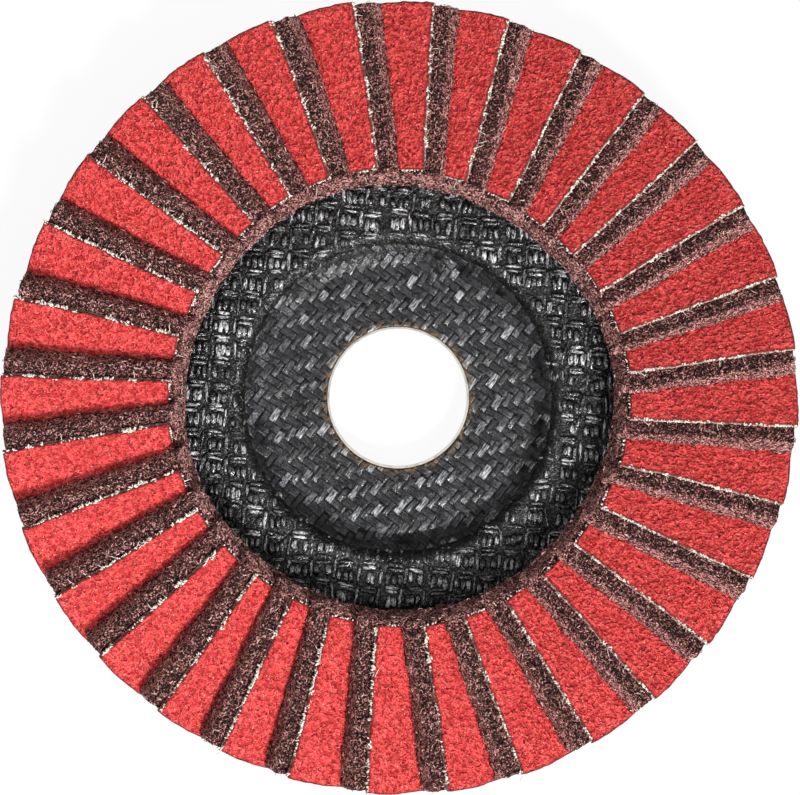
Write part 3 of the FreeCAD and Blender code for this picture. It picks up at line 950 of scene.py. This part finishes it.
def add_yarns(shape, draw, ways, middles, lengths, widths, rise, chance, face_at, side, steps):
    """Short lengths of yarn seen where they come over the others: rounded bars that dive into the resin.

    They lie on the face that face_at gives, and side is 1 where it looks up and -1 where it looks down.
    """
    count = len(middles)
    k = np.linspace(-1.0, 1.0, steps)
    a = np.linspace(0, 2 * math.pi, steps, endpoint=False)
    along, upwards = k[None, :, None], np.sin(a)[None, None, :]
    sideways = np.stack([-ways[:, 1], ways[:, 0]], -1)
    bend = draw.uniform(-0.06, 0.06, (count, 1)) * (1 - k[None, :] ** 2)
    reach = (lengths[:, None] * k)[..., None]
    line = middles[:, None] + ways[:, None] * reach / 2 + sideways[:, None] * bend[..., None]
    fat = (np.clip(1 - k ** 4, 0.12, 1) ** 0.5)[None, :, None]
    out = widths[:, None, None] / 2 * fat * np.cos(a)[None, None, :]
    xy = line[:, :, None] + sideways[:, None, None] * out[..., None]
    x, y = xy[..., 0], xy[..., 1]
    arch = rise[:, None, None] * (1 - 1.5 * along ** 2) + 0.20 * upwards * fat
    lumps = noise(flat(x, y, upwards * 0.4), 0.55, 330)
    z = face_at(np.hypot(x, y)) - side * YARN_SINK + side * (arch + 0.11 * lumps)
    # crown is 1 on a yarn's top and 0 on its flanks; the material paints glints on the crown and shade on the
    # flanks
    crown = np.broadcast_to(np.clip(upwards * (1 - 0.9 * along ** 2), 0, 1), z.shape)
    size = steps * steps
    upright = np.repeat((np.abs(ways[:, 1]) > 0.7) * 1.0, size)
    start = shape.add(flat(x, y, z), chance=np.repeat(chance, size), upright=upright, crown=crown)
    base = start + np.arange(count)[:, None, None] * size
    faces = grid(steps, steps, 0, True)[:, ::-side]
    ends = np.stack([np.arange(steps)[::side], size - steps + np.arange(steps)[::-side]])
    shape.face((base + faces[None]).reshape(-1, 4))
    shape.face((base + ends[None]).reshape(-1, steps), smooth=False)


# Kinds of coarse yarn: length and width as shares of a mesh, and how far they rise. Level ones run along x.
UPRIGHT, LEVEL, DEEP_UPRIGHT = (0.64, 0.25, 0.18), (0.80, 0.18, 0.06), (0.95, 0.17, -0.08)
# Where in a mesh each yarn comes to the surface
FRONT_YARNS = (
    (0.12, 0.34, UPRIGHT), (0.36, 0.34, UPRIGHT), (0.60, 0.34, UPRIGHT),
    (0.37, 0.74, LEVEL), (0.37, 0.91, LEVEL), (0.87, 0.45, DEEP_UPRIGHT),
)
BACK_YARNS = ((0.15, 0.32, UPRIGHT), (0.50, 0.32, UPRIGHT), (0.38, 0.80, LEVEL))


def make_coarse_yarns(name, side, face_at, radii, pitch, turn, yarns, steps, seed):
    """A coarse open cloth on one face of the plate, with upright and level yarns in each mesh."""
    shape = Shape()
    draw = np.random.default_rng(seed)
    inner, outer = radii
    turn = math.radians(turn)
    c, s = math.cos(turn), math.sin(turn)
    reach = int(outer / pitch) + 2
    cells = np.array(list(itertools.product(range(-reach, reach + 1), repeat=2)), float)
    strayed, shared = draw.normal(0.0, 0.14, cells.shape), draw.random(len(cells))
    for p, q, kind in yarns:
        length_share, width_share, lift = kind
        at = (cells + (p, q)) * pitch + draw.normal(0.0, 0.12, cells.shape) + strayed
        middles = np.stack([at[:, 0] * c - at[:, 1] * s, at[:, 0] * s + at[:, 1] * c], -1)
        middles += 0.30 * np.stack([np.sin(middles[:, 1] * 0.41), np.sin(middles[:, 0] * 0.37)], -1)
        radius = np.hypot(middles[:, 0], middles[:, 1])
        keep = (radius > inner) & (radius < outer) & (draw.random(len(cells)) > 0.08)
        middles, radius = middles[keep], radius[keep]
        count = len(middles)
        heading = turn + draw.normal(0.0, 0.09, count) + (0 if kind == LEVEL else math.pi / 2)
        ways = np.stack([np.cos(heading), np.sin(heading)], -1)
        lengths = length_share * pitch * draw.uniform(0.75, 1.10, count)
        widths = width_share * pitch * draw.uniform(0.78, 1.18, count)
        shown = smooth_step(inner - 1.0, inner + 2.2, radius)
        rise = (lift + draw.uniform(-0.10, 0.10, count)) * shown - 0.24 * (1 - shown)
        chance = 0.55 * shared[keep] + 0.45 * draw.random(count)
        add_yarns(shape, draw, ways, middles, lengths, widths, rise, chance, face_at, side, steps)
    return shape.build(name, [yarn], "glass_cloth_laminate", "backing_plate")


def make_hub_cloth():
    """The finer twill cloth pressed over the hub's front."""
    shape = Shape()
    radii = np.linspace(PLATE_BORE, HUB_CLOTH_RIM, 45)
    R, A = polar(radii)
    x, y = R * np.cos(A), R * np.sin(A)
    ragged = 0.35 * noise(flat(x, y), 1.6, 310) + 0.30 * noise(flat(x, y), 6.0, 311)
    scale = 1 + ragged * smooth_step(21.0, HUB_CLOTH_RIM, R) / R
    fade = smooth_step(PLATE_BORE + 0.1, PLATE_BORE + 1.2, R) * (1 - 0.6 * smooth_step(21.0, 23.5, R))
    z = plate_front(R * scale) + (hub_weave(x, y)[0] - 0.75) * 0.14 * fade
    z = z - 0.40 * smooth_step(HUB_CLOTH_RIM - 1.6, HUB_CLOTH_RIM, R)
    tinge = smooth_step(PLATE_BORE + 1.4, PLATE_BORE + 0.2, R)
    # slope is 1 on the dish's slope, where the hub's material paints shade
    top = (flat(x * scale, y * scale, z), {"slope": smooth_step(21.8, 24.4, R), "tinge": tinge})
    R, A = polar(np.array([HUB_CLOTH_RIM - 0.1, 21.0, PLATE_BORE]))
    x, y = R * np.cos(A), R * np.sin(A)
    none = np.zeros(R.shape)
    base = (flat(x, y, plate_front(R) - HUB_CLOTH_DEPTH), {"slope": none, "tinge": none})
    add_rings(shape, [top, base])
    return shape.build("plate_hub_cloth", [twill_resin], "glass_cloth_laminate", "backing_plate")


def make_bed():
    """The adhesive under the flaps, squeezed out into an uneven bead along both rims."""
    shape = Shape()
    section = [(BED_INNER, BED_FLOOR, 0.0), (BED_INNER - 0.25, 7.75, 0.3), (BED_INNER + 0.3, 8.02, 0.1)]
    section += [(r, BED_TOP, 0.0) for r in (37.0, 41.0, 45.0, 49.0, 53.0)]
    section += [(BED_OUTER - 0.5, BED_TOP, 0.1), (BED_OUTER + 0.15, 7.85, 0.35)]
    section += [(BED_OUTER + 0.2, BED_FLOOR, 0.25)]
    rings = []
    for r, z, loose in section:
        R, A = polar(np.array([r]))
        around = flat(np.cos(A) * r, np.sin(A) * r, z)
        R = R + loose * (noise(around, 2.6, 501) + 0.5 * noise(around, 1.0, 502))
        rings.append((flat(R * np.cos(A), R * np.sin(A), z), {"tint": np.zeros(R.shape)}))
    add_rings(shape, rings)
    return shape.build("adhesive", [glue], "cured_adhesive", "adhesive_bed")


for index in range(PAIRS):
    make_cloth_flap(index)
for index in range(PAIRS // 2):
    make_web_pair(index)
make_plate_body()
make_hub_cloth()
make_coarse_yarns("plate_front_yarns", 1, plate_front, (24.6, 34.6), FRONT_MESH, FRONT_MESH_TURN, FRONT_YARNS,
                  steps=8, seed=41)
make_coarse_yarns("plate_back_yarns", -1, plate_back, (20.6, 55.0), BACK_MESH, BACK_MESH_TURN, BACK_YARNS,
                  steps=6, seed=42)
make_bed()

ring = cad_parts["arbor_ring"]
ring.data.materials.clear()
ring.data.materials.append(tinplate)


# Floor, light and camera

def make_floor():
    """A plain pale floor that shows white behind the disc and still takes its shadow."""
    mesh = bpy.data.meshes.new("floor")
    side = 4.0
    corners = [(-side, -side, 0), (side, -side, 0), (side, side, 0), (-side, side, 0)]
    mesh.from_pydata(corners, [], [(0, 1, 2, 3)])
    ground = bpy.data.objects.new("floor", mesh)
    ground.location.z = -0.0003
    bpy.context.scene.collection.objects.link(ground)
    material = bpy.data.materials.new("floor_paint")
    material.use_nodes = True
    tree = material.node_tree
    tree.nodes.clear()
    out = tree.nodes.new("ShaderNodeOutputMaterial")
    matt = tree.nodes.new("ShaderNodeBsdfDiffuse")
    glow = tree.nodes.new("ShaderNodeEmission")
    mix = tree.nodes.new("ShaderNodeMixShader")
    rays = tree.nodes.new("ShaderNodeLightPath")
    matt.inputs["Color"].default_value = (0.86, 0.86, 0.86, 1)
    glow.inputs["Strength"].default_value = 1.0
    seen = calc(tree, "MAXIMUM", rays.outputs["Is Camera Ray"], rays.outputs["Is Glossy Ray"])
    tree.links.new(calc(tree, "MULTIPLY", seen, 0.92), mix.inputs[0])
    tree.links.new(matt.outputs[0], mix.inputs[1])
    tree.links.new(glow.outputs[0], mix.inputs[2])
    tree.links.new(mix.outputs[0], out.inputs["Surface"])
    mesh.materials.append(material)


def make_world():
    """Even studio surroundings, white where the camera sees past the floor."""
    world = bpy.data.worlds.new("studio")
    bpy.context.scene.world = world
    world.use_nodes = True
    tree = world.node_tree
    background = tree.nodes["Background"]
    rays = tree.nodes.new("ShaderNodeLightPath")
    strength = step(tree, rays.outputs["Is Camera Ray"], 0.0, 1.0, 0.18, 1.0)
    tree.links.new(strength, background.inputs["Strength"])
    background.inputs["Color"].default_value = (1.0, 1.0, 1.0, 1.0)


def make_light(name, at, size, power):
    """A soft square light aimed at the disc."""
    lamp = bpy.data.lights.new(name, "AREA")
    lamp.shape, lamp.size, lamp.energy = "SQUARE", size, power
    light = bpy.data.objects.new(name, lamp)
    light.location = at
    light.rotation_euler = Vector(at).to_track_quat("Z", "Y").to_euler()
    bpy.context.scene.collection.objects.link(light)


make_floor()
make_world()
make_light("key", (0.48, -0.98, 1.15), 0.28, 35.0)
make_light("left", (-0.85, -0.25, 1.50), 0.70, 9.0)
make_light("right", (0.90, -0.20, 1.50), 0.70, 9.0)

lens = bpy.data.cameras.new("camera")
lens.sensor_width = 36.0
lens.lens = 117.85
lens.shift_x, lens.shift_y = 0.0178, -0.0371
lens.clip_start, lens.clip_end = 0.01, 20.0
camera = bpy.data.objects.new("camera", lens)
camera.location = (-0.0020, 0.0048, 0.426)
bpy.context.scene.collection.objects.link(camera)
bpy.context.scene.camera = camera
bpy.context.scene.view_settings.view_transform = "Standard"
